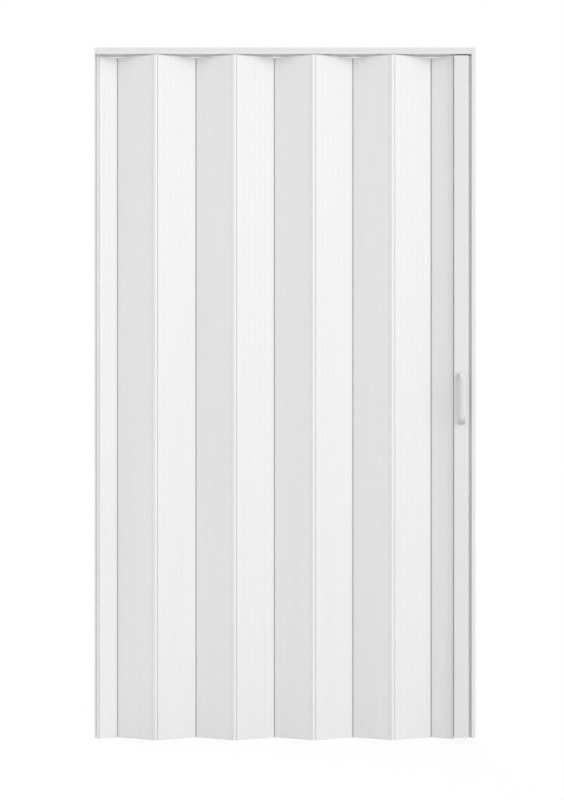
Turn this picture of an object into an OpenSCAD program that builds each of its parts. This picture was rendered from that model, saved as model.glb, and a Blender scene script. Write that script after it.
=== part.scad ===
// Accordion door of hollow PVC slats that fold against the left jamb.
// X runs to the right, Y away from the viewer, Z up. The origin is on top of the head track, at the
// middle of its length and depth, so the door hangs down to z = -door_h. It is drawn closed.

/* [Opening] */
// Width from wall to wall
door_w = 1100; // [1040:5:1160]
// Height from the top of the track to the bottom of the slats
door_h = 2000; // [1800:10:2200]
// How far the jambs and the lead post stop above the bottom of the slats
jamb_cut = 5.5; // [2:0.5:12]

/* [Slats] */
// Angle between a slat's hinge line and the wall line when the door is closed
closed_turn = 17; // [14:1:20]
// Thickness of a slat
slat_t = 8; // [7:0.5:9]
// Thickness of the faces and edge walls of a slat
skin = 1; // [0.8:0.1:1.2]
// Thickness of the webs inside a slat
web_t = 0.8; // [0.6:0.1:1.2]
// Hollow cells in a full slat, an even number
cells = 6; // [4:2:8]
// Width of the shallow grooves that mark the webs on both faces
groove_w = 1.8; // [1.2:0.1:2.4]
// Depth of those grooves
groove_d = 0.35; // [0.2:0.05:0.5]
// How far a slat's outer face swells out near its socket
flare = 2; // [1:0.25:2.5]
// Distance from the socket's middle to where that swelling starts
flare_len = 12; // [10:1:16]
// Distance from the socket's middle back to the crest of the swelling
crest_back = 0.9; // [0.5:0.1:3]
// Where the bevelled nose past the crest ends, right of the hinge line in the closed door
nose_x = 4.5; // [3.5:0.1:4.7]
// How far that end stands out from the plane through the socket's middle
nose_out = 5; // [4:0.1:5.5]
// Bevel of the edge that reaches over the next slat's socket
tip_cut = 0.5; // [0.3:0.1:0.8]
// Length of the low ramp up to the socket's lip on the inner face
ramp_len = 7; // [4:1:10]
// How far the ramp ends above the socket's ring
lip_proud = 0.15; // [0.1:0.05:0.3]

/* [Interlock] */
// Radius of the bead on a slat's left edge
bead_r = 3; // [2.5:0.25:3.25]
// Radius of the bore that makes the bead between two slats a springy hook
hook_bore = 2; // [1.5:0.1:2.1]
// Width of the slit into that bore
hook_slit = 2.4; // [1.6:0.1:3]
// Running clearance between a bead and its socket
bead_gap = 0.2; // [0.15:0.05:0.3]
// Wall of a socket
socket_wall = 1.8; // [1.4:0.1:2]
// Thickness of the neck between a bead and its slat
neck_t = 1.2; // [1:0.1:1.4]
// How far the neck lies under the inner face
neck_under = 0.3; // [0.2:0.05:0.4]
// Gap between a socket and the edge of the next slat
edge_gap = 0.6; // [0.4:0.1:1]
// Where a slat's socket starts and ends its mouth, in degrees from the slat's own line
mouth_from = 10; // [6:1:12]
mouth_to = 170; // [169:1:172]
// The same for the sockets on a slat's middle plane, at the jamb and at the lead post
end_mouth_from = 7; // [4:1:9]
end_mouth_to = 98; // [97:1:110]

/* [Head track] */
// Depth of the track and of both jambs
track_d = 42; // [40:1:46]
// Height of the track
track_h = 18.5; // [17.5:0.5:22]
// Wall of the track
track_wall = 1.8; // [1.5:0.1:2.2]
// Thickness of the flanges that the gliders run on
flange_t = 1.6; // [1.4:0.1:2]
// How far the side walls reach below the flanges
lip_h = 1.2; // [0.8:0.1:2]
// Width of the slot between the flanges
slot_w = 8; // [7:0.5:10]
// Width of the groove along the front and back faces
line_w = 1; // [0.6:0.1:1.4]
// Depth of that groove
line_d = 0.4; // [0.2:0.05:0.6]
// Depth from the top of the track to that groove
line_drop = 8; // [6:0.5:10]
// Radius of the outer corners of the track and of the strike jamb
rail_round = 1; // [0.6:0.1:1.4]
// Gap between the track and the slats below it
head_gap = 3.2; // [1.7:0.1:4]
// Distance between the track's outer screw holes
track_holes = 960; // [900:10:1000]

/* [Jambs] */
// Thickness of the plate against the wall
plate_t = 2; // [1.6:0.1:2.5]
// How far the fixed jamb's socket sinks into its plate
socket_sink = 0.6; // [0.4:0.1:0.8]
// Half height of the foot under that socket
socket_foot = 3; // [2:0.5:3.5]
// Length of the strike jamb's flanges from the wall
strike_flange = 11.5; // [11:0.5:13]
// Distance from the door's top to the jambs' first screw holes
jamb_hole_top = 200; // [150:10:250]
// Distance from there to the last screw holes
jamb_hole_span = 1590; // [1400:30:1600]
// Distance between the two holes of a row
jamb_hole_pitch = 26; // [24:1:28]

/* [Screw holes] */
// Radius of the holes for the fixing screws
hole_r = 2; // [1.75:0.25:2.25]
// Radius of their countersink at the surface
sink_r = 3.4; // [3:0.1:3.6]
// Share of a plate's thickness that the countersink may take
sink_share = 0.75; // [0.6:0.05:0.8]

/* [Lead post] */
// Width of the post's face
post_w = 43.4; // [40:0.2:46]
// Depth of the post
post_d = 40; // [38:0.5:42]
// Wall of the post
post_wall = 1.6; // [1.4:0.1:2]
// Radius of the corners beside the tongue
post_round = 7.5; // [5:0.5:7.5]
// Radius of the corners beside the hinge
post_small_round = 1.5; // [1:0.25:2.5]
// Length of the tongue that enters the strike jamb
tongue_l = 13.6; // [12:0.2:15]
// Width of the tongue
tongue_w = 24; // [20:1:28]
// Gap between the track and the top of the post
post_gap = 4.5; // [4:0.5:6]

/* [Closing strips] */
// Thickness of the magnet strip
magnet_t = 2; // [1.5:0.25:2.5]
// Width of the magnet strip
magnet_w = 12; // [10:0.5:14]
// How far the magnet stands out of the tongue
magnet_proud = 1; // [0.75:0.25:1.25]
// Thickness of the steel keeper strip
keeper_t = 1; // [0.8:0.1:1.2]
// Width of the keeper strip
keeper_w = 16; // [12:0.5:16]
// Gap between magnet and keeper when closed
strip_gap = 0.4; // [0.3:0.1:0.8]
// Distance of both strips from the ends of the jamb
strip_end = 40; // [30:5:60]

/* [End caps] */
// Thickness of the caps' covers
cap_t = 2; // [1.5:0.25:3]
// Length of the plugs inside the post
plug_l = 12; // [10:1:16]
// Wall of the plugs
plug_wall = 2; // [1.5:0.25:2.5]
// Clearance of a plug all round
plug_gap = 0.25; // [0.15:0.05:0.4]

/* [Gliders] */
// Radius of a glider's head
head_r = 7; // [6:0.25:8]
// Height of the head's rim
head_rim = 3; // [2.5:0.25:3.5]
// Height of the head's crown over its rim
head_crown = 1.2; // [0.8:0.1:1.6]
// Radius of the stem
stem_r = 2.7; // [2.2:0.1:3]
// Running clearance between the head and the flanges
head_lift = 0.3; // [0.2:0.1:0.5]
// Thickness of the plate that sits on a slat
saddle_t = 1.2; // [1:0.1:1.4]
// Length of that plate
saddle_l = 36; // [32:1:38]
// Length of the two prongs inside the slat
prong_l = 22; // [16:1:30]
// Width of each prong
prong_w = 10; // [8:0.5:11]
// Clearance between a prong and the slat's faces
prong_gap = 0.2; // [0.1:0.05:0.4]
// Distance between the two gliders on the lead post
post_glider_pitch = 24; // [18:1:26]
// Radius of the peg that holds a glider in the post's cap
peg_r = 2.4; // [2:0.1:2.6]
// Clearance of the peg in its hole
peg_gap = 0.1; // [0.05:0.05:0.2]

/* [Handles] */
// Height of the handles' middle above the bottom of the slats
grip_height = 987; // [900:1:1100]
// Distance between the middles of a handle's two legs
leg_pitch = 138; // [110:2:160]
// Width of the bow
bow_w = 18; // [17:0.5:20]
// Thickness of the bow
bow_t = 10; // [9.5:0.5:12]
// Distance from the post's face to the middle of the grip
bow_reach = 24; // [23:1:34]
// Radius of the bow's bends, along its middle
bow_bend = 18; // [15:1:22]
// Thickness of the foot plates
foot_t = 3; // [2:0.5:4]
// How far a foot plate stands out around its leg
foot_lip = 1.5; // [1:0.5:3]

/* [Handle screws] */
// Radius of the screws
bolt_r = 2; // [1.75:0.25:2.25]
// Clearance of the screws in the post and the back handle
bolt_gap = 0.2; // [0.1:0.05:0.3]
// Clearance of the screws in the front handle
bolt_grip_gap = 0.05; // [0.05:0.05:0.1]
// How deep the screws go into the front handle
bolt_hold = 13; // [11:1:15]
// Radius of the screw heads
bolt_head_r = 3.7; // [3.5:0.1:3.8]
// Height of the screw heads
bolt_head_h = 2.8; // [2.4:0.2:3.2]
// Clearance of a screw head in its pocket
bolt_head_gap = 0.3; // [0.2:0.05:0.35]
// Thickness of the back handle's leg under the screw head
bolt_seat = 9; // [7:0.5:11]

/* [Hidden] */
$fn = 48;

// Full slats, an even number so that both ends of the zigzag lie on the track's middle line
slats = 8;
// A cut runs this far past the faces that it opens
over = 1;
// Sides of the cut that opens a socket's mouth
mouth_steps = 4;
// Rows of screw holes in each jamb
jamb_rows = 4;
// Where the edge beside the jamb's socket is cut blunt, as a share of its distance from the bead
blunt_share = 0.8;

half_t = slat_t / 2;
socket_r = bead_r + bead_gap + socket_wall;
edge_u = socket_r + edge_gap;
tip_x = nose_x + edge_gap;

// Places along the door's width
left_wall = -door_w / 2;
right_wall = door_w / 2;
jamb_axis_x = left_wall + plate_t + socket_r - socket_sink;
keeper_x = right_wall - plate_t - keeper_t;
magnet_x = keeper_x - strip_gap - magnet_t;
tongue_x = magnet_x + magnet_t - magnet_proud;
post_right = tongue_x - tongue_l;
post_left = post_right - post_w;
post_axis_x = post_left - edge_u;
track_right = right_wall - strike_flange;

// The zigzag: every hinge line spans the same width, and the end slats span half of it
pitch = (post_axis_x - jamb_axis_x) / (slats + 1);
link = pitch / cos(closed_turn);
swing = pitch / 2 * tan(closed_turn);
slat_w = sqrt(link * link - slat_t * slat_t);
face_turn = closed_turn + atan(slat_t / slat_w);

// Heights
slat_top = -track_h - head_gap;
slat_len = door_h + slat_top;
jamb_bottom = -door_h + jamb_cut;
post_top = -track_h - post_gap;
flange_drop = track_h - lip_h - flange_t;
head_z = -flange_drop + head_lift;
grip_z = -door_h + grip_height;

// The strips
strip_top = -strip_end;
strip_len = -strip_end - jamb_bottom - strip_end;

function web_pitch(w, count) = (w - flare_len - edge_u - skin + web_t) / count;
function web_u(w, count, i) = edge_u + skin + i * web_pitch(w, count) - web_t / 2;

// How far along a slat a point lies that is x to the right of its socket in the closed door, and out
// towards the fold's outer side
function slat_u(x, out) = (x + out * sin(face_turn)) / cos(face_turn);

// The outward normal of an edge from a to b of an outline drawn anticlockwise
function edge_normal(a, b) = [b[1] - a[1], a[0] - b[0]] / norm(b - a);

// An outline drawn anticlockwise, with every edge moved inwards by a wall
function drawn_in(points, wall) = let (last = len(points) - 1) [
    for (i = [0:last]) let (
        before = edge_normal(points[i == 0 ? last : i - 1], points[i]),
        after = edge_normal(points[i], points[i == last ? 0 : i + 1])
    ) points[i] - wall * (before + after) / (1 + before * after)
];

// A countersunk screw hole through a plate of thickness t, sunk at its upper face
module sunk_hole(t) {
    sink = min(sink_r - hole_r, t * sink_share);
    translate([0, 0, -over]) cylinder(r = hole_r, h = t + 2 * over);
    translate([0, 0, t - sink]) cylinder(r1 = hole_r, r2 = hole_r + sink, h = sink);
    translate([0, 0, t]) cylinder(r = hole_r + sink, h = over);
}

// What a rounded corner takes away, for a corner at the origin whose body lies at +X and +Y
module corner_cut(r) {
    difference() {
        translate([-over, -over]) square(r + over);
        translate([r, r]) circle(r);
    }
}

// A rectangle with round ends, w along X
module stadium(w, t) {
    square([w - t, t], center = true);
    for (side = [-1, 1]) translate([side * (w - t) / 2, 0]) circle(t / 2);
}

// Socket: the ring, and the bore and mouth that are cut from it
module socket_ring() {
    circle(socket_r);
}

module socket_cut(from, to) {
    reach = (socket_r + 2 * over) / cos((to - from) / mouth_steps / 2);
    circle(bead_r + bead_gap);
    polygon(concat([[0, 0]], [for (i = [0:mouth_steps]) let (a = from + (to - from) * i / mouth_steps)
        reach * [cos(a), sin(a)]]));
}

// Slat section, w from hinge line to hinge line. The left bead's centre is at height bead_v and the
// right socket's at socket_v, on the faces or on the middle plane. The socket's mouth opens towards +Y,
// the inner side of that fold.
module slat_section(w, count, bead_v, socket_v, mouth) {
    neck_low = bead_v == 0 ? -neck_t / 2 : bead_v + neck_under;
    difference() {
        union() {
            difference() {
                polygon(slat_outline(w, bead_v, socket_v, socket_v > 0 ? lip_ramp(mouth[1]) : []));
                translate([0, bead_v]) circle(edge_u);
            }
            translate([w, socket_v]) socket_ring();
            translate([0, bead_v]) circle(bead_r);
            translate([0, neck_low]) square([edge_u + skin / 2, neck_t]);
        }
        translate([w, socket_v]) socket_cut(mouth[0], mouth[1]);
        if (bead_v != 0) translate([0, bead_v]) hook_cut();
        for (i = [0:count - 1])
            cell(web_u(w, count, i) + web_t / 2, web_u(w, count, i + 1) - web_t / 2,
                 i == 0 && bead_v != 0 ? slat_u(tip_x, -slat_t) + 2 * skin : web_u(w, count, i) + web_t / 2);
        difference() {
            intersection() {
                polygon(drawn_in(slat_outline(w, bead_v, socket_v, []), skin));
                translate([w - flare_len + web_t, -slat_t]) square([w, 2 * slat_t]);
            }
            translate([w, socket_v]) socket_ring();
        }
        for (i = [1:count - 1], side = [-1, 1])
            translate([web_u(w, count, i), side * half_t])
                polygon([[-groove_w / 2, 0], [0, -side * groove_d], [groove_w / 2, 0]]);
    }
}

// The slat's outline but for its bead and ring, anticlockwise. Its nose and its socket end reach into
// the ring, and where it has a ramp it takes in the ramp's points. A bead on a face has an edge that
// reaches over the last slat's socket, to edge_gap from that slat's nose.
function slat_outline(w, bead_v, socket_v, ramp) = concat(
    [[w - flare_len, -half_t], [w - crest_back, -half_t - flare]],
    [for (out = [nose_out, 0]) [w + slat_u(nose_x, out), socket_v - out]],
    ramp == [] ? [[w - socket_r / 2, half_t]] : [for (p = ramp) p + [w, socket_v]],
    bead_v == 0
        ? [[blunt_share * edge_u, half_t], [blunt_share * edge_u, -half_t]]
        : [[slat_u(tip_x, -slat_t) + tip_cut, half_t], [slat_u(tip_x, tip_cut - slat_t), half_t - tip_cut],
           [slat_u(tip_x, 0), -half_t]]
);

// A hollow cell. The first one leans out at its upper end, to leave an even wall behind the bead's edge.
module cell(left, right, upper_left) {
    inner = half_t - skin;
    polygon([[left, -inner], [right, -inner], [right, inner], [upper_left, inner]]);
}

// What makes a bead a hook: its bore and the slit into it, which faces the front in the closed door
module hook_cut() {
    circle(hook_bore);
    rotate(face_turn - 90) translate([0, -hook_slit / 2]) square([bead_r + over, hook_slit]);
}

// Ramp from the inner face up to the socket's lip and on into its mouth, from the lip back to the foot
function lip_ramp(mouth_end) = let (
    foot = [-socket_r - ramp_len, 0],
    tip = (socket_r + lip_proud) * [cos(mouth_end), sin(mouth_end)]
) [tip + over * (tip - foot) / norm(tip - foot), foot];

// Puts a slat section at its left hinge and raises it. Every other slat is the same profile turned over.
module place_slat(x, y, turned_over, bead_v) {
    translate([x, y, slat_top - slat_len])
        mirror([0, turned_over ? 1 : 0])
            rotate(-face_turn)
                translate([0, -bead_v])
                    linear_extrude(slat_len) children();
}

function hinge_x(i) = jamb_axis_x + pitch * (i - 0.5);
function over_turned(i) = i % 2 == 0;

module slat(i) {
    color("white")
        place_slat(hinge_x(i), over_turned(i) ? -swing : swing, over_turned(i), -half_t)
            slat_section(slat_w, cells, -half_t, half_t, [mouth_from, mouth_to]);
}

module half_slat_left() {
    color("white")
        place_slat(jamb_axis_x, 0, true, 0)
            slat_section(slat_w / 2, cells / 2, 0, half_t, [mouth_from, mouth_to]);
}

module half_slat_right() {
    color("white")
        place_slat(hinge_x(slats + 1), swing, false, -half_t)
            slat_section(slat_w / 2, cells / 2, -half_t, 0, [end_mouth_from, end_mouth_to]);
}

// Head track: a C channel open at the bottom, whose side walls reach below its flanges
module track_section() {
    difference() {
        translate([-track_d / 2, -track_h]) square([track_d, track_h]);
        translate([-track_d / 2 + track_wall, -flange_drop])
            square([track_d - 2 * track_wall, flange_drop - track_wall]);
        translate([-slot_w / 2, -flange_drop - flange_t - over]) square([slot_w, flange_t + 2 * over]);
        translate([-track_d / 2 + track_wall, -track_h - over])
            square([track_d - 2 * track_wall, track_h - flange_drop - flange_t + over]);
        for (side = [0, 1]) mirror([side, 0]) {
            translate([-track_d / 2, -track_h]) corner_cut(rail_round);
            translate([-track_d / 2, -line_drop])
                polygon([[0, -line_w / 2], [line_d, 0], [0, line_w / 2]]);
        }
    }
}

module head_track() {
    color("white") difference() {
        translate([left_wall, 0, 0]) rotate([90, 0, 90])
            linear_extrude(track_right - left_wall) track_section();
        for (share = [-1 / 2, -1 / 6, 1 / 6, 1 / 2])
            translate([share * track_holes, 0, 0]) mirror([0, 0, 1]) sunk_hole(track_wall);
    }
}

// The screw holes of a jamb, along +X from a plate's wall face
module jamb_holes() {
    for (row = [0:jamb_rows - 1], side = [-1, 1])
        translate([0, side * jamb_hole_pitch / 2, -jamb_hole_top - row * jamb_hole_span / (jamb_rows - 1)])
            rotate([0, 90, 0]) sunk_hole(plate_t);
}

module fixed_jamb() {
    color("white") difference() {
        translate([0, 0, jamb_bottom]) linear_extrude(-track_h - jamb_bottom) {
            translate([left_wall, -track_d / 2]) square([plate_t, track_d]);
            difference() {
                union() {
                    translate([jamb_axis_x, 0]) socket_ring();
                    translate([left_wall + plate_t / 2, -socket_foot])
                        square([jamb_axis_x - left_wall - plate_t / 2, 2 * socket_foot]);
                }
                translate([jamb_axis_x, 0]) socket_cut(end_mouth_from, end_mouth_to);
            }
        }
        translate([left_wall, 0, 0]) jamb_holes();
    }
}

module strike_jamb() {
    color("white") difference() {
        translate([0, 0, jamb_bottom]) linear_extrude(-jamb_bottom) difference() {
            translate([right_wall - strike_flange, -track_d / 2]) square([strike_flange, track_d]);
            translate([right_wall - strike_flange - over, -track_d / 2 + track_wall])
                square([strike_flange - plate_t + over, track_d - 2 * track_wall]);
            for (side = [0, 1]) mirror([0, side])
                translate([right_wall - strike_flange, -track_d / 2]) corner_cut(rail_round);
        }
        translate([right_wall, 0, 0]) mirror([1, 0, 0]) jamb_holes();
    }
}

module keeper_strip() {
    color("gray") translate([keeper_x, -keeper_w / 2, strip_top - strip_len])
        cube([keeper_t, keeper_w, strip_len]);
}

module magnet_strip() {
    color("dimgray") translate([magnet_x, -magnet_w / 2, strip_top - strip_len])
        cube([magnet_t, magnet_w, strip_len]);
}

// Lead post: its outline with the tongue, and the two hollows inside
module post_outline() {
    difference() {
        translate([post_left, -post_d / 2]) square([post_w, post_d]);
        for (side = [0, 1]) mirror([0, side]) {
            translate([post_left, -post_d / 2]) corner_cut(post_small_round);
            translate([post_right, -post_d / 2]) mirror([1, 0]) corner_cut(post_round);
        }
    }
    translate([post_right - post_wall, -tongue_w / 2]) square([tongue_x - post_right + post_wall, tongue_w]);
}

module post_hollow(gap) {
    w = post_wall + gap;
    difference() {
        translate([post_left + w, -post_d / 2 + w]) square([post_w - 2 * w, post_d - 2 * w]);
        for (side = [0, 1]) mirror([0, side])
            translate([post_right - w, -post_d / 2 + w]) mirror([1, 0]) corner_cut(post_round - post_wall);
    }
}

module lead_post() {
    magnet_cut = magnet_t - magnet_proud;
    color("white") difference() {
        translate([0, 0, jamb_bottom + cap_t])
            linear_extrude(post_top - cap_t - jamb_bottom - cap_t) {
                difference() {
                    post_outline();
                    post_hollow(0);
                    translate([post_right, -tongue_w / 2 + post_wall])
                        square([tongue_l - post_wall - magnet_cut, tongue_w - 2 * post_wall]);
                    translate([magnet_x, -magnet_w / 2]) square([magnet_t, magnet_w]);
                }
                translate([post_axis_x, 0]) circle(bead_r);
                translate([post_axis_x, -neck_t / 2]) square([edge_u + post_wall / 2, neck_t]);
            }
        handle_places() rotate([90, 0, 0])
            cylinder(r = bolt_r + bolt_gap, h = post_d + 2 * over, center = true);
    }
}

// Cap: a cover with the post's outline and a hollow plug below it
module cap_body() {
    translate([0, 0, -cap_t]) linear_extrude(cap_t) post_outline();
    translate([0, 0, -cap_t - plug_l]) linear_extrude(plug_l) difference() {
        post_hollow(plug_gap);
        post_hollow(plug_gap + plug_wall);
    }
}

module post_glider_places() {
    for (side = [-1, 1])
        translate([post_left + post_w / 2 + side * post_glider_pitch / 2, 0, 0]) children();
}

module post_top_cap() {
    boss_r = peg_r + peg_gap + plug_wall;
    color("gainsboro") translate([0, 0, post_top]) difference() {
        union() {
            cap_body();
            post_glider_places() translate([0, 0, -cap_t - plug_l]) cylinder(r = boss_r, h = plug_l);
        }
        post_glider_places() translate([0, 0, -cap_t - plug_l - over])
            cylinder(r = peg_r + peg_gap, h = cap_t + plug_l + 2 * over);
    }
}

module post_bottom_cap() {
    color("gainsboro") translate([0, 0, jamb_bottom]) mirror([0, 0, 1]) cap_body();
}

// A glider's head, with its stem from height foot_z
module glider_head(foot_z) {
    crown_r = (pow(head_r, 2) + pow(head_crown, 2)) / (2 * head_crown);
    translate([0, 0, foot_z]) cylinder(r = stem_r, h = head_z - foot_z + over);
    translate([0, 0, head_z]) cylinder(r = head_r, h = head_rim);
    translate([0, 0, head_z + head_rim]) intersection() {
        cylinder(r = head_r, h = head_crown);
        translate([0, 0, head_crown - crown_r]) sphere(crown_r, $fn = 2 * $fn);
    }
}

// Slat glider: a saddle on the slat's top edge, with two prongs down the cells beside the middle web
module glider(i) {
    web_off = web_u(slat_w, cells, cells / 2) - slat_w / 2;
    prong_from = web_t / 2 + prong_gap;
    color("gainsboro") translate([hinge_x(i) + pitch / 2, 0, 0]) {
        glider_head(slat_top + saddle_t / 2);
        rotate(face_turn) {
            translate([0, 0, slat_top]) linear_extrude(saddle_t) stadium(saddle_l, slat_t - 2 * prong_gap);
            for (side = [0, 1])
                translate([web_off, 0, slat_top - prong_l]) mirror([side, 0, 0])
                    translate([prong_from, -half_t + skin + prong_gap, 0])
                        cube([prong_w, slat_t - 2 * skin - 2 * prong_gap, prong_l + saddle_t / 2]);
        }
    }
}

module post_glider(side) {
    color("gainsboro") translate([post_left + post_w / 2 + side * post_glider_pitch / 2, 0, 0]) {
        glider_head(post_top);
        translate([0, 0, post_top - cap_t - plug_l]) cylinder(r = peg_r, h = cap_t + plug_l + over);
    }
}

// The middles of the two legs, on the post's middle plane
module handle_places() {
    for (side = [-1, 1])
        translate([post_left + post_w / 2, 0, grip_z + side * leg_pitch / 2]) children();
}

// Bow handle, standing on the XZ plane and reaching towards -Y, with its grip along Z
module bow() {
    straight = bow_reach - bow_bend;
    for (side = [0, 1]) mirror([0, 0, side]) translate([0, 0, leg_pitch / 2]) {
        rotate([90, 0, 0]) linear_extrude(foot_t) stadium(bow_w + 2 * foot_lip, bow_t + 2 * foot_lip);
        rotate([90, 0, 0]) linear_extrude(straight) stadium(bow_w, bow_t);
        translate([0, -straight, -bow_bend]) rotate([0, -90, 0]) rotate([0, 0, -90])
            rotate_extrude(angle = 90) translate([bow_bend, 0]) rotate(90) stadium(bow_w, bow_t);
    }
    translate([0, -bow_reach, -leg_pitch / 2 + bow_bend])
        linear_extrude(leg_pitch - 2 * bow_bend) stadium(bow_w, bow_t);
}

module handle_front() {
    color("white") difference() {
        translate([post_left + post_w / 2, -post_d / 2, grip_z]) bow();
        handle_places() rotate([90, 0, 0])
            cylinder(r = bolt_r + bolt_grip_gap, h = post_d / 2 + bolt_hold + over);
    }
}

module handle_back() {
    color("white") difference() {
        translate([post_left + post_w / 2, post_d / 2, grip_z]) mirror([0, 1, 0]) bow();
        handle_places() rotate([-90, 0, 0]) {
            cylinder(r = bolt_r + bolt_gap, h = post_d / 2 + bow_reach + bow_t);
            translate([0, 0, post_d / 2 + bolt_seat])
                cylinder(r = bolt_head_r + bolt_head_gap, h = bow_reach + bow_t);
        }
    }
}

module handle_screws() {
    color("silver") handle_places() rotate([-90, 0, 0]) {
        translate([0, 0, -post_d / 2 - bolt_hold])
            cylinder(r = bolt_r, h = post_d + bolt_hold + bolt_seat + bolt_head_h / 2);
        translate([0, 0, post_d / 2 + bolt_seat]) cylinder(r = bolt_head_r, h = bolt_head_h);
    }
}

head_track();
fixed_jamb();
strike_jamb();
keeper_strip();
half_slat_left();
slat(1);  // slat_1
slat(2);  // slat_2
slat(3);  // slat_3
slat(4);  // slat_4
slat(5);  // slat_5
slat(6);  // slat_6
slat(7);  // slat_7
slat(8);  // slat_8
half_slat_right();
lead_post();
post_top_cap();
post_bottom_cap();
magnet_strip();
handle_front();
handle_back();
handle_screws();
glider(2);  // glider_1
glider(4);  // glider_2
glider(6);  // glider_3
glider(8);  // glider_4
post_glider(-1);  // post_glider_left
post_glider(1);  // post_glider_right
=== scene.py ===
"""Finish, light and camera for a white folding door of hollow PVC slats."""
import math

import bpy
from mathutils import Matrix, Vector


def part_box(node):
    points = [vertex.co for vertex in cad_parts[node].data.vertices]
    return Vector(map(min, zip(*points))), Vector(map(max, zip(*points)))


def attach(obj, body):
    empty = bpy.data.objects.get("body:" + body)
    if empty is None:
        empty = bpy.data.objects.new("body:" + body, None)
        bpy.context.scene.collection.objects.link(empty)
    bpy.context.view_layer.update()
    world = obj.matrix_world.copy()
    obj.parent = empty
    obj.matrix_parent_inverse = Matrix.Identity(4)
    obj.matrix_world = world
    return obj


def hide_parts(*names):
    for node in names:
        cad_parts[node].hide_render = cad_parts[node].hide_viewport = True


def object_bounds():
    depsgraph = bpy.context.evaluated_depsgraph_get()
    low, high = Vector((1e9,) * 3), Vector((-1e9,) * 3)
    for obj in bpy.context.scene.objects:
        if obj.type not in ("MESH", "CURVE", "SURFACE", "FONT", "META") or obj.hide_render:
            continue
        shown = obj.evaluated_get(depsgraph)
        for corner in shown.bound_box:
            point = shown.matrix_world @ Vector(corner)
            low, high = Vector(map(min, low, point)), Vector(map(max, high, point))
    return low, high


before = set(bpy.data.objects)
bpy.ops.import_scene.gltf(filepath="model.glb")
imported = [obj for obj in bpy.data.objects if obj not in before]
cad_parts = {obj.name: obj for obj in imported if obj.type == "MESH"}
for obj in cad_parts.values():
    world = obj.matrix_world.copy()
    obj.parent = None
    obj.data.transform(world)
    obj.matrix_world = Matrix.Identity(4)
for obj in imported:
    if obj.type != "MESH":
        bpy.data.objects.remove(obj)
cad_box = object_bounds()

# All lengths are in metres.

# The view: square on, with the eye at the middle of the picture
VIEW_X = -0.0088
VIEW_Z = -1.018
# From the eye to the plane through the middle of the track
VIEW_DISTANCE = 4.75
# How much the picture shows from top to bottom, in the plane of the track's front face
VIEW_HEIGHT = 2.31
SENSOR_MM = 36.0

# The handles, which stand on the post's front and back faces
FOOT_LIP = 0.0015
FOOT_THICK = 0.003
# Radius of the rounded outer edge of a foot
FOOT_ROUND = FOOT_LIP * 0.45
BOW_THICK = 0.010
# Radius of the bow's middle line where it bends from a leg into the grip
BOW_BEND = 0.018
# How much thinner the bow gets towards the middle of the grip, on each side
GRIP_WAIST = 0.0005
# Power that makes the bow's section squarer than an ellipse, which has 1
SECTION_POWER = 0.72
# Radius of the pockets in the back handle
SCREW_POCKET = 0.004

# The screws that hold them
SCREW_RADIUS = 0.002
TIP_RADIUS = 0.001
TIP_LENGTH = 0.001
HEAD_RADIUS = 0.0037
HEAD_HEIGHT = 0.0028
# Bevel of the head's lower edge, height at which its dome starts, and radius of the dome's flat top
HEAD_BEVEL = 0.0002
HEAD_RIM = 0.0012
HEAD_FLAT = 0.0008
# Half length and half width of a blade of the cross recess, above the head and at the bottom
RECESS_MOUTH = (0.0024, 0.0006)
RECESS_FLOOR = (0.0009, 0.0003)
RECESS_OVER = 0.0004
RECESS_DEPTH = 0.0017

# Angles between faces from which shading keeps an edge, in degrees
HANDLE_SHARP = 40
SCREW_SHARP = 30

# The surroundings: what the room lights with and what it shows, and how far under the door the floor is
ROOM_LIGHT = 0.73
PLAIN_WHITE = 1.0
FLOOR_DROP = 0.008
FLOOR_SIZE = 40.0
# The floor throws back this share of the light. In the picture it glows, and takes a little light, so that
# the shadow shows.
FLOOR_BOUNCE = 0.94
FLOOR_GLOW = 0.7
FLOOR_SHADE = 0.35
LAMP_DISTANCE = 6


# Node trees

# Sockets of a Mix node that mixes colours
MIX_SHARE, MIX_FIRST, MIX_SECOND, MIX_RESULT = 0, 6, 7, 2


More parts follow.
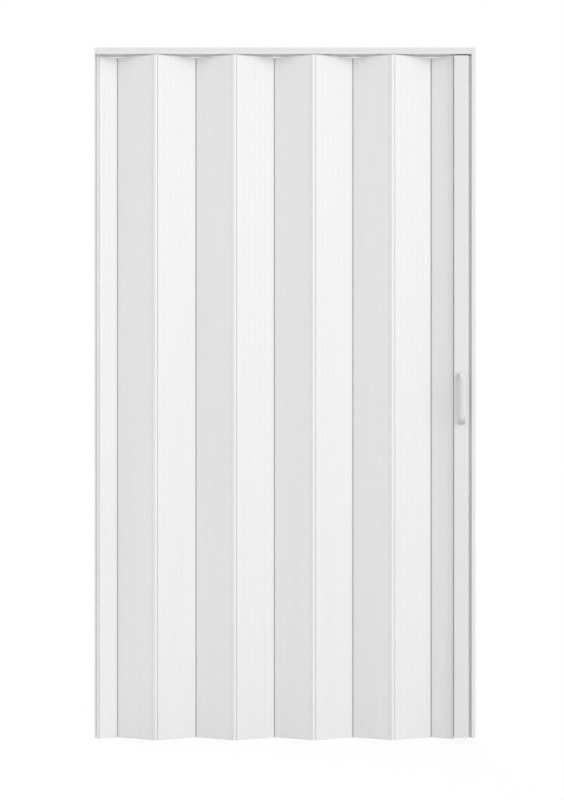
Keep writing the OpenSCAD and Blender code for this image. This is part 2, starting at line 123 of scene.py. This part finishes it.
class Tree:
    """A material's node tree, with short ways to add and join nodes."""

    def __init__(self, name):
        self.material = bpy.data.materials.new(name)
        self.material.use_nodes = True
        self.nodes = self.material.node_tree.nodes
        self.links = self.material.node_tree.links
        self.nodes.clear()
        self.output = self.add("ShaderNodeOutputMaterial")

    def add(self, kind, inputs=None, **settings):
        node = self.nodes.new(kind)
        for key, value in settings.items():
            setattr(node, key, value)
        for key, value in (inputs or {}).items():
            self.put(node, key, value)
        return node

    def put(self, node, key, value):
        """Sets a socket to a value, or joins another node's socket to it."""
        if isinstance(value, bpy.types.NodeSocket):
            self.links.new(value, node.inputs[key])
        else:
            node.inputs[key].default_value = value

    def place(self):
        """The object's own coordinates, in metres."""
        return self.add("ShaderNodeTexCoord").outputs["Object"]

    def stretched(self, scale):
        """The object's own coordinates times a scale on each axis."""
        return self.add("ShaderNodeMapping", {"Vector": self.place(), "Scale": scale}).outputs["Vector"]

    def noise(self, scale, detail=2.0, rough=0.5):
        """Noise of about 0.5 over the object, with a scale per metre on each axis."""
        return self.add("ShaderNodeTexNoise", {
            "Vector": self.stretched(scale), "Scale": 1.0, "Detail": detail, "Roughness": rough,
        }).outputs["Fac"]

    def ramp(self, value, low, high, start=0.35, end=0.65):
        """Carries a value from start to end over to the range from low to high."""
        return self.add("ShaderNodeMapRange", {
            "Value": value, "From Min": start, "From Max": end, "To Min": low, "To Max": high,
        }).outputs["Result"]

    def times(self, first, second):
        node = self.add("ShaderNodeMath", operation="MULTIPLY")
        self.put(node, 0, first)
        self.put(node, 1, second)
        return node.outputs["Value"]

    def mix(self, share, first, second):
        """The first colour, with a share of the second mixed in."""
        node = self.add("ShaderNodeMix", data_type="RGBA")
        self.put(node, MIX_SHARE, share)
        self.put(node, MIX_FIRST, first)
        self.put(node, MIX_SECOND, second)
        return node.outputs[MIX_RESULT]

    def bump(self, height, before, depth, strength):
        """Normals over relief of a depth in metres, on top of the normals before it."""
        return self.add("ShaderNodeBump", {
            "Height": height, "Normal": before, "Distance": depth, "Strength": strength,
        }).outputs["Normal"]

    def soft_edges(self, radius):
        """Normals that round the edges of a solid by a radius."""
        return self.add("ShaderNodeBevel", {"Radius": radius}, samples=4).outputs["Normal"]

    def crease_shade_mask(self, reach):
        """From 0 on open faces to 1 deep in corners and slots up to a reach wide, from ambient occlusion.
        It masks the shade painted into corners.
        """
        open_share = self.add("ShaderNodeAmbientOcclusion", {"Distance": reach}, samples=8).outputs["AO"]
        return self.ramp(open_share, 1.0, 0.0, 0.25, 0.8)

    def upward(self, vector):
        """The Z part of a vector."""
        return self.add("ShaderNodeSeparateXYZ", {"Vector": vector}).outputs["Z"]

    def height_share(self, low, high):
        """From 1 at height low, or below it, to 0 at height high."""
        return self.ramp(self.upward(self.place()), 1.0, 0.0, low, high)

    def finish(self, shader):
        self.put(self.output, "Surface", shader.outputs["BSDF"])
        return self.material


def grey(value, tint=(1.0, 1.0, 1.0)):
    """A grey of a brightness, or that brightness of a tint, as a colour with its alpha."""
    return tuple(value * t for t in tint) + (1.0,)


def streaks(axis, across, along):
    """A noise scale that draws the grain out along one axis."""
    scale = [across, across, across]
    scale[axis] = along
    return scale


X_AXIS, Z_AXIS = 0, 2
# Tints of new PVC, of dust and scuffs and of the shade painted into corners and undersides, of nylon and of
# zinc, dull and bright
COOL_WHITE = (1.0, 1.0, 0.998)
DUST_AND_SHADE = (1.0, 0.985, 0.955)
NYLON_CREAM = (1.0, 0.995, 0.965)
ZINC_DULL = (0.97, 0.99, 1.0)
ZINC_BRIGHT = (1.0, 1.0, 0.985)
# Heights between which the scuffs near the floor fade out
SCUFFS_LOW, SCUFFS_HIGH = -1.98, -1.86


def extruded_pvc(name, value, axis, crease_shade=0.12):
    """Satin white PVC: faint die lines along one axis, unevenness across a face, painted shade in the
    corners and scuffs near the floor."""
    tree = Tree(name)
    lines = tree.noise(streaks(axis, 700.0, 2.5), detail=3.0, rough=0.6)
    clouds = tree.noise(streaks(axis, 22.0, 1.2))
    grain = tree.noise((2600.0, 2600.0, 2600.0), detail=1.0)
    marks = tree.noise((60.0, 60.0, 240.0), detail=4.0, rough=0.7)
    darker, lighter = grey(value - 0.012, COOL_WHITE), grey(value + 0.008, COOL_WHITE)
    base = tree.mix(tree.ramp(clouds, 0.0, 1.0), darker, lighter)
    base = tree.mix(tree.ramp(lines, 0.0, 0.5), base, grey(value - 0.02, COOL_WHITE))
    scuffs = tree.ramp(marks, 0.0, 0.35, start=0.58, end=0.7)
    scuffs = tree.times(scuffs, tree.height_share(SCUFFS_LOW, SCUFFS_HIGH))
    base = tree.mix(scuffs, base, grey(value * 0.78, DUST_AND_SHADE))
    # Painted shade: corners and slots darkened by ambient occlusion, up to a share of crease_shade
    base = tree.mix(tree.times(tree.crease_shade_mask(0.006), crease_shade), base, grey(value * 0.62, DUST_AND_SHADE))
    normal = tree.bump(grain, tree.soft_edges(0.0004), depth=0.00004, strength=0.3)
    normal = tree.bump(lines, normal, depth=0.00006, strength=0.35)
    return tree.finish(tree.add("ShaderNodeBsdfPrincipled", {
        "Base Color": base, "Roughness": tree.ramp(clouds, 0.36, 0.46), "Normal": normal, "IOR": 1.52,
    }))


def gloss_plastic(name, value):
    """Moulded glossy plastic with a slight orange peel, thumb smears and hairline scratches, with painted
    light
    and shade: lighter upward faces, darker undersides and darker corners."""
    tree = Tree(name)
    peel = tree.noise((420.0, 420.0, 420.0), detail=1.0)
    smears = tree.noise((55.0, 55.0, 38.0), detail=3.0, rough=0.6)
    scratches = tree.noise((3200.0, 900.0, 60.0), detail=2.0, rough=0.7)
    facing = tree.upward(tree.add("ShaderNodeNewGeometry").outputs["Normal"])
    darker, lighter = grey(value - 0.01, COOL_WHITE), grey(value + 0.006, COOL_WHITE)
    base = tree.mix(tree.ramp(smears, 0.0, 1.0, start=0.1, end=0.9), darker, lighter)
    # Painted shade: corners near the post darkened by ambient occlusion
    base = tree.mix(tree.times(tree.crease_shade_mask(0.012), 0.45), base, grey(value * 0.5, DUST_AND_SHADE))
    # Painted light: upward faces lighter, as if lit from above
    painted_top_light = tree.ramp(facing, 0.0, 1.0, start=0.15, end=0.8)
    base = tree.mix(painted_top_light, base, grey(value * 1.18, COOL_WHITE))
    # Painted shade: undersides darker, as if shaded from above
    painted_underside_shade = tree.ramp(facing, 1.0, 0.0, start=-0.85, end=-0.1)
    base = tree.mix(painted_underside_shade, base, grey(value * 0.74, DUST_AND_SHADE))
    normal = tree.bump(peel, tree.soft_edges(0.0005), depth=0.00005, strength=0.4)
    hairlines = tree.ramp(scratches, 0.0, 1.0, start=0.6, end=0.72)
    normal = tree.bump(hairlines, normal, depth=0.00002, strength=0.5)
    return tree.finish(tree.add("ShaderNodeBsdfPrincipled", {
        "Base Color": base, "Roughness": tree.ramp(smears, 0.15, 0.22, start=0.1, end=0.9),
        "Normal": normal, "IOR": 1.53,
    }))


def moulded_plastic(name, value, tint, roughness, glow):
    """Fine-grained moulded plastic. glow is how much light passes under its surface."""
    tree = Tree(name)
    spark = tree.noise((3800.0, 3800.0, 3800.0), detail=2.0, rough=0.6)
    flow = tree.noise((160.0, 160.0, 90.0))
    base = tree.mix(tree.ramp(flow, 0.0, 1.0), grey(value - 0.02, tint), grey(value + 0.01, tint))
    # Painted shade: corners darkened by ambient occlusion
    base = tree.mix(tree.times(tree.crease_shade_mask(0.003), 0.35), base, grey(value * 0.6, DUST_AND_SHADE))
    normal = tree.bump(spark, tree.soft_edges(0.0003), depth=0.00006, strength=0.6)
    return tree.finish(tree.add("ShaderNodeBsdfPrincipled", {
        "Base Color": base, "Roughness": tree.ramp(spark, roughness - 0.05, roughness + 0.05),
        "Normal": normal, "IOR": 1.53, "Subsurface Weight": glow, "Subsurface Scale": 0.001,
    }))


def brushed_zinc(name):
    """Zinc-plated steel strip: rolling lines along its length and cloudy plating."""
    tree = Tree(name)
    rolled = tree.noise(streaks(Z_AXIS, 1800.0, 9.0), detail=3.0, rough=0.7)
    plating = tree.noise((140.0, 140.0, 45.0), detail=3.0, rough=0.55)
    base = tree.mix(tree.ramp(plating, 0.0, 1.0), grey(0.50, ZINC_DULL), grey(0.63, ZINC_BRIGHT))
    normal = tree.bump(rolled, tree.soft_edges(0.0003), depth=0.00002, strength=0.5)
    return tree.finish(tree.add("ShaderNodeBsdfPrincipled", {
        "Base Color": base, "Roughness": tree.ramp(rolled, 0.27, 0.43), "Normal": normal, "Metallic": 1.0,
    }))


def magnet_rubber(name):
    """Black ferrite-filled rubber with extrusion lines and a dusty bloom."""
    tree = Tree(name)
    drawn = tree.noise(streaks(Z_AXIS, 1500.0, 6.0), detail=2.0, rough=0.6)
    bloom = tree.noise((260.0, 260.0, 120.0), detail=3.0, rough=0.6)
    base = tree.mix(tree.ramp(bloom, 0.0, 0.6, start=0.45, end=0.75), grey(0.022), grey(0.07, DUST_AND_SHADE))
    normal = tree.bump(drawn, tree.soft_edges(0.0003), depth=0.00005, strength=0.5)
    return tree.finish(tree.add("ShaderNodeBsdfPrincipled", {
        "Base Color": base, "Roughness": tree.ramp(drawn, 0.55, 0.7), "Normal": normal, "IOR": 1.5,
    }))


MATERIALS = {
    "slat_pvc": extruded_pvc("slat_pvc", 0.80, Z_AXIS),
    "rail_pvc": extruded_pvc("rail_pvc", 0.755, Z_AXIS),
    "handle_plastic": gloss_plastic("handle_plastic", 0.70),
    "cap_plastic": moulded_plastic("cap_plastic", 0.76, COOL_WHITE, roughness=0.45, glow=0.0),
    "nylon": moulded_plastic("nylon", 0.74, NYLON_CREAM, roughness=0.42, glow=0.08),
    "zinc_steel": brushed_zinc("zinc_steel"),
    "magnet_rubber": magnet_rubber("magnet_rubber"),
}
# Rails of the same slot that differ a little: the track's die lines run along X, and the strike jamb is a
# little whiter, with less painted shade in its corners
OWN_MATERIALS = {
    "head_track": extruded_pvc("rail_pvc_track", 0.755, X_AXIS),
    "strike_jamb": extruded_pvc("rail_pvc_strike", 0.785, Z_AXIS, crease_shade=0.04),
}

for node_name, node_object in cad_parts.items():
    for material_slot in node_object.material_slots:
        slot_name = material_slot.material.name.split(".")[0]
        material_slot.material = OWN_MATERIALS.get(node_name, MATERIALS[slot_name])


# Mesh pieces

def new_piece(name, points, faces, slot):
    """A mesh object in the scene, with the material of a slot."""
    mesh = bpy.data.meshes.new(name)
    mesh.from_pydata(points, [], faces)
    mesh.update()
    piece = bpy.data.objects.new(name, mesh)
    bpy.context.scene.collection.objects.link(piece)
    mesh.materials.append(MATERIALS[slot])
    return piece


def quarter_turns(steps, first=1):
    """Angles from 0 to a quarter turn in even steps, from the first one on."""
    return [math.pi / 2 * step / steps for step in range(first, steps + 1)]


def loft(name, rings, slot):
    """Closed skin over rings of the same number of points, with flat ends."""
    count = len(rings[0])
    points = [p for ring in rings for p in ring]
    faces = [
        (r * count + i, r * count + (i + 1) % count, (r + 1) * count + (i + 1) % count, (r + 1) * count + i)
        for r in range(len(rings) - 1) for i in range(count)
    ]
    faces.append(tuple(reversed(range(count))))
    faces.append(tuple(range(len(points) - count, len(points))))
    return new_piece(name, points, faces, slot)


def carve(piece, cutters):
    """Cuts pieces out of another and deletes them, with nothing left to apply."""
    for cutter in cutters:
        cut = piece.modifiers.new("cut", "BOOLEAN")
        cut.operation = "DIFFERENCE"
        cut.solver = "EXACT"
        cut.object = cutter
    graph = bpy.context.evaluated_depsgraph_get()
    carved = bpy.data.meshes.new_from_object(piece.evaluated_get(graph))
    piece.modifiers.clear()
    piece.data = carved
    for cutter in cutters:
        bpy.data.objects.remove(cutter)


def smooth(piece, sharp_degrees):
    """Smooth shading, except where faces meet at a sharper angle."""
    piece.data.shade_smooth()
    piece.data.set_sharp_from_angle(angle=math.radians(sharp_degrees))


def turned(name, profile, centre, slot, sides=32):
    """A solid of revolution about a line along Y, from pairs of radius and place, in the order of Y."""
    rings = [
        [centre + Vector((r * math.cos(a), y, -r * math.sin(a)))
         for a in (2 * math.pi * i / sides for i in range(sides))]
        for r, y in profile
    ]
    return loft(name, rings, slot)


# Handles

def bow_stations(reach, half_pitch):
    """Stations along one half of the bow, from its foot to the middle of the grip: how far out and how
    high the middle line is, its direction's angle from straight out, and how far the section grows."""
    stations = [(0.0, half_pitch, 0.0, FOOT_LIP), (FOOT_THICK - FOOT_ROUND, half_pitch, 0.0, FOOT_LIP)]
    # The foot's rounded edge, then the fillet from its top into the leg
    for turn in quarter_turns(3):
        stations.append((FOOT_THICK - FOOT_ROUND + FOOT_ROUND * math.sin(turn), half_pitch, 0.0,
                         FOOT_LIP - FOOT_ROUND * (1 - math.cos(turn))))
    fillet = FOOT_LIP - FOOT_ROUND
    for turn in quarter_turns(4):
        stations.append((FOOT_THICK + fillet * (1 - math.cos(turn)), half_pitch, 0.0,
                         fillet * (1 - math.sin(turn))))
    for turn in quarter_turns(14, first=0):
        stations.append((reach - BOW_BEND + BOW_BEND * math.sin(turn),
                         half_pitch - BOW_BEND * (1 - math.cos(turn)), turn, 0.0))
    grip_steps = 8
    grip_half = half_pitch - BOW_BEND
    for step in range(1, grip_steps + 1):
        share = step / grip_steps
        waist = GRIP_WAIST * math.sin(share * math.pi / 2)
        stations.append((reach, grip_half * (1 - share), math.pi / 2, -waist))
    return stations


def bow_ring(out, up, angle, grow, half_width, face_y, side, centre, sides=40):
    """One section of the bow: a rounded oblong across its middle line, nearly flat on its broad faces."""
    half_thick = BOW_THICK / 2 + grow
    across = Vector((0, side * math.sin(angle), math.cos(angle)))
    middle = Vector((centre.x, face_y + side * out, centre.z + up))
    ring = []
    for i in range(sides):
        c, s = math.cos(2 * math.pi * i / sides), math.sin(2 * math.pi * i / sides)
        x = math.copysign(abs(c) ** SECTION_POWER, c) * (half_width + grow)
        n = math.copysign(abs(s) ** SECTION_POWER, s) * half_thick
        ring.append(middle + Vector((x, 0, 0)) + across * n)
    return ring


def add_handle(name, side):
    """A bow handle in place of its CAD node. side is -1 in front and 1 at the back, where the screws go in.
    Gives half the distance between its legs."""
    low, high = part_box(name)
    centre = (low + high) / 2
    face_y = high.y if side < 0 else low.y
    reach = high.y - low.y - BOW_THICK / 2
    half_width = (high.x - low.x) / 2 - FOOT_LIP
    half_pitch = (high.z - low.z) / 2 - FOOT_LIP - BOW_THICK / 2
    upper = bow_stations(reach, half_pitch)
    lower = [(out, -up, math.pi - angle, grow) for out, up, angle, grow in reversed(upper[:-1])]
    rings = [bow_ring(*station, half_width, face_y, side, centre) for station in upper + lower]
    if side > 0:
        rings.reverse()
    bow = loft(name + "_bow", rings, "handle_plastic")
    if side > 0:
        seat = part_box("handle_screws")[1].y - HEAD_HEIGHT
        carve(bow, [
            turned("pocket", [(SCREW_POCKET, seat), (SCREW_POCKET, high.y + SCREW_POCKET)],
                   Vector((centre.x, 0, centre.z + z)), "handle_plastic")
            for z in (-half_pitch, half_pitch)
        ])
    smooth(bow, HANDLE_SHARP)
    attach(bow, "post")
    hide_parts(name)
    return half_pitch


def cross_recess(centre, top_y):
    """The two tapered blades of a cross recess, from just above the top of a head inwards."""
    blades = []
    for turn in (0, math.pi / 2):
        rings = []
        for (long, wide), y in ((RECESS_MOUTH, top_y + RECESS_OVER), (RECESS_FLOOR, top_y - RECESS_DEPTH)):
            corners = ((-long, -wide), (long, -wide), (long, wide), (-long, wide))
            rings.append([centre + Matrix.Rotation(turn, 3, "Y") @ Vector((u, y, v)) for u, v in corners])
        blades.append(loft("blade", rings, "zinc_steel"))
    return blades


def add_screws(half_pitch):
    """The two long screws: a shank with a bevelled tip under a domed head with a cross recess."""
    low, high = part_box("handle_screws")
    middle = (low + high) / 2
    seat = high.y - HEAD_HEIGHT
    profile = [
        (TIP_RADIUS, low.y), (SCREW_RADIUS, low.y + TIP_LENGTH), (SCREW_RADIUS, seat),
        (HEAD_RADIUS - HEAD_BEVEL, seat), (HEAD_RADIUS, seat + HEAD_BEVEL), (HEAD_RADIUS, seat + HEAD_RIM),
    ]
    for turn in quarter_turns(6):
        radius = max(HEAD_RADIUS * math.cos(turn), HEAD_FLAT)
        profile.append((radius, seat + HEAD_RIM + (HEAD_HEIGHT - HEAD_RIM) * math.sin(turn)))
    for place, z in (("upper", half_pitch), ("lower", -half_pitch)):
        centre = Vector((middle.x, 0, middle.z + z))
        screw = turned(f"handle_screw_{place}", profile, centre, "zinc_steel")
        carve(screw, cross_recess(centre, high.y))
        smooth(screw, SCREW_SHARP)
        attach(screw, "post")
        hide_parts("handle_screws")


# Surroundings

def add_far_light(name, right_degrees, up_degrees, size_degrees, strength):
    """A broad lamp, so far off that it lights the whole door evenly. It stands so many degrees round to the
    viewer's right and up, and looks so many degrees wide."""
    lamp = bpy.data.lights.new(name, "SUN")
    lamp.energy = strength
    lamp.angle = math.radians(size_degrees)
    right, up = math.radians(right_degrees), math.radians(up_degrees)
    toward = Vector((math.sin(right) * math.cos(up), -math.cos(right) * math.cos(up), math.sin(up)))
    holder = bpy.data.objects.new(name, lamp)
    holder.location = toward * LAMP_DISTANCE
    holder.rotation_euler = toward.to_track_quat("Z", "Y").to_euler()
    bpy.context.scene.collection.objects.link(holder)


def add_world(light, shown):
    """An even room that gives one light, and shows another in the picture, in reflections and through
    clear things."""
    world = bpy.data.worlds.new("white_room")
    world.use_nodes = True
    nodes, links = world.node_tree.nodes, world.node_tree.links
    nodes.clear()
    path = nodes.new("ShaderNodeLightPath")
    seen = path.outputs["Is Camera Ray"]
    for ray in ("Is Glossy Ray", "Is Transmission Ray"):
        either = nodes.new("ShaderNodeMath")
        either.operation = "MAXIMUM"
        links.new(seen, either.inputs[0])
        links.new(path.outputs[ray], either.inputs[1])
        seen = either.outputs[0]
    level = nodes.new("ShaderNodeMapRange")
    level.inputs["To Min"].default_value = light
    level.inputs["To Max"].default_value = shown
    links.new(seen, level.inputs["Value"])
    background = nodes.new("ShaderNodeBackground")
    background.inputs["Color"].default_value = (1.0, 1.0, 1.0, 1.0)
    links.new(level.outputs["Result"], background.inputs["Strength"])
    output = nodes.new("ShaderNodeOutputWorld")
    links.new(background.outputs[0], output.inputs["Surface"])
    bpy.context.scene.world = world


def add_floor(height):
    """A pale floor, near white in the picture, that takes the door's shadow and throws light back up."""
    half = FLOOR_SIZE / 2
    corners = [(x * half, y * half, height) for x, y in ((-1, -1), (1, -1), (1, 1), (-1, 1))]
    mesh = bpy.data.meshes.new("floor")
    mesh.from_pydata(corners, [], [(0, 1, 2, 3)])
    floor = bpy.data.objects.new("floor", mesh)
    bpy.context.scene.collection.objects.link(floor)
    tree = Tree("floor")
    path = tree.add("ShaderNodeLightPath")
    matt = tree.add("ShaderNodeBsdfDiffuse", {"Color": grey(FLOOR_BOUNCE)})
    glow = tree.add("ShaderNodeEmission", {"Color": grey(PLAIN_WHITE), "Strength": FLOOR_GLOW})
    shaded = tree.add("ShaderNodeBsdfDiffuse", {"Color": grey(FLOOR_SHADE)})
    shown = tree.add("ShaderNodeAddShader", {0: glow.outputs[0], 1: shaded.outputs[0]})
    either = tree.add("ShaderNodeMixShader", {
        0: path.outputs["Is Camera Ray"], 1: matt.outputs[0], 2: shown.outputs[0],
    })
    tree.put(tree.output, "Surface", either.outputs[0])
    mesh.materials.append(tree.material)


def add_camera():
    """The camera, with the lens that frames the door as VIEW_HEIGHT says."""
    lens = bpy.data.cameras.new("camera")
    lens.sensor_fit = "VERTICAL"
    lens.sensor_height = SENSOR_MM
    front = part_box("head_track")[0].y
    lens.lens = SENSOR_MM * (VIEW_DISTANCE + front) / VIEW_HEIGHT
    lens.clip_start = 0.05
    lens.clip_end = 50
    holder = bpy.data.objects.new("camera", lens)
    holder.location = (VIEW_X, -VIEW_DISTANCE, VIEW_Z)
    holder.rotation_euler = (math.pi / 2, 0, 0)
    bpy.context.scene.collection.objects.link(holder)
    bpy.context.scene.camera = holder


add_handle("handle_front", -1)
add_screws(add_handle("handle_back", 1))

add_camera()
add_world(ROOM_LIGHT, PLAIN_WHITE)
add_floor(cad_box[0].z - FLOOR_DROP)
add_far_light("key", right_degrees=40, up_degrees=16, size_degrees=50, strength=1.08)
add_far_light("back", right_degrees=218, up_degrees=20, size_degrees=70, strength=1.0)
bpy.context.scene.view_settings.view_transform = "Standard"
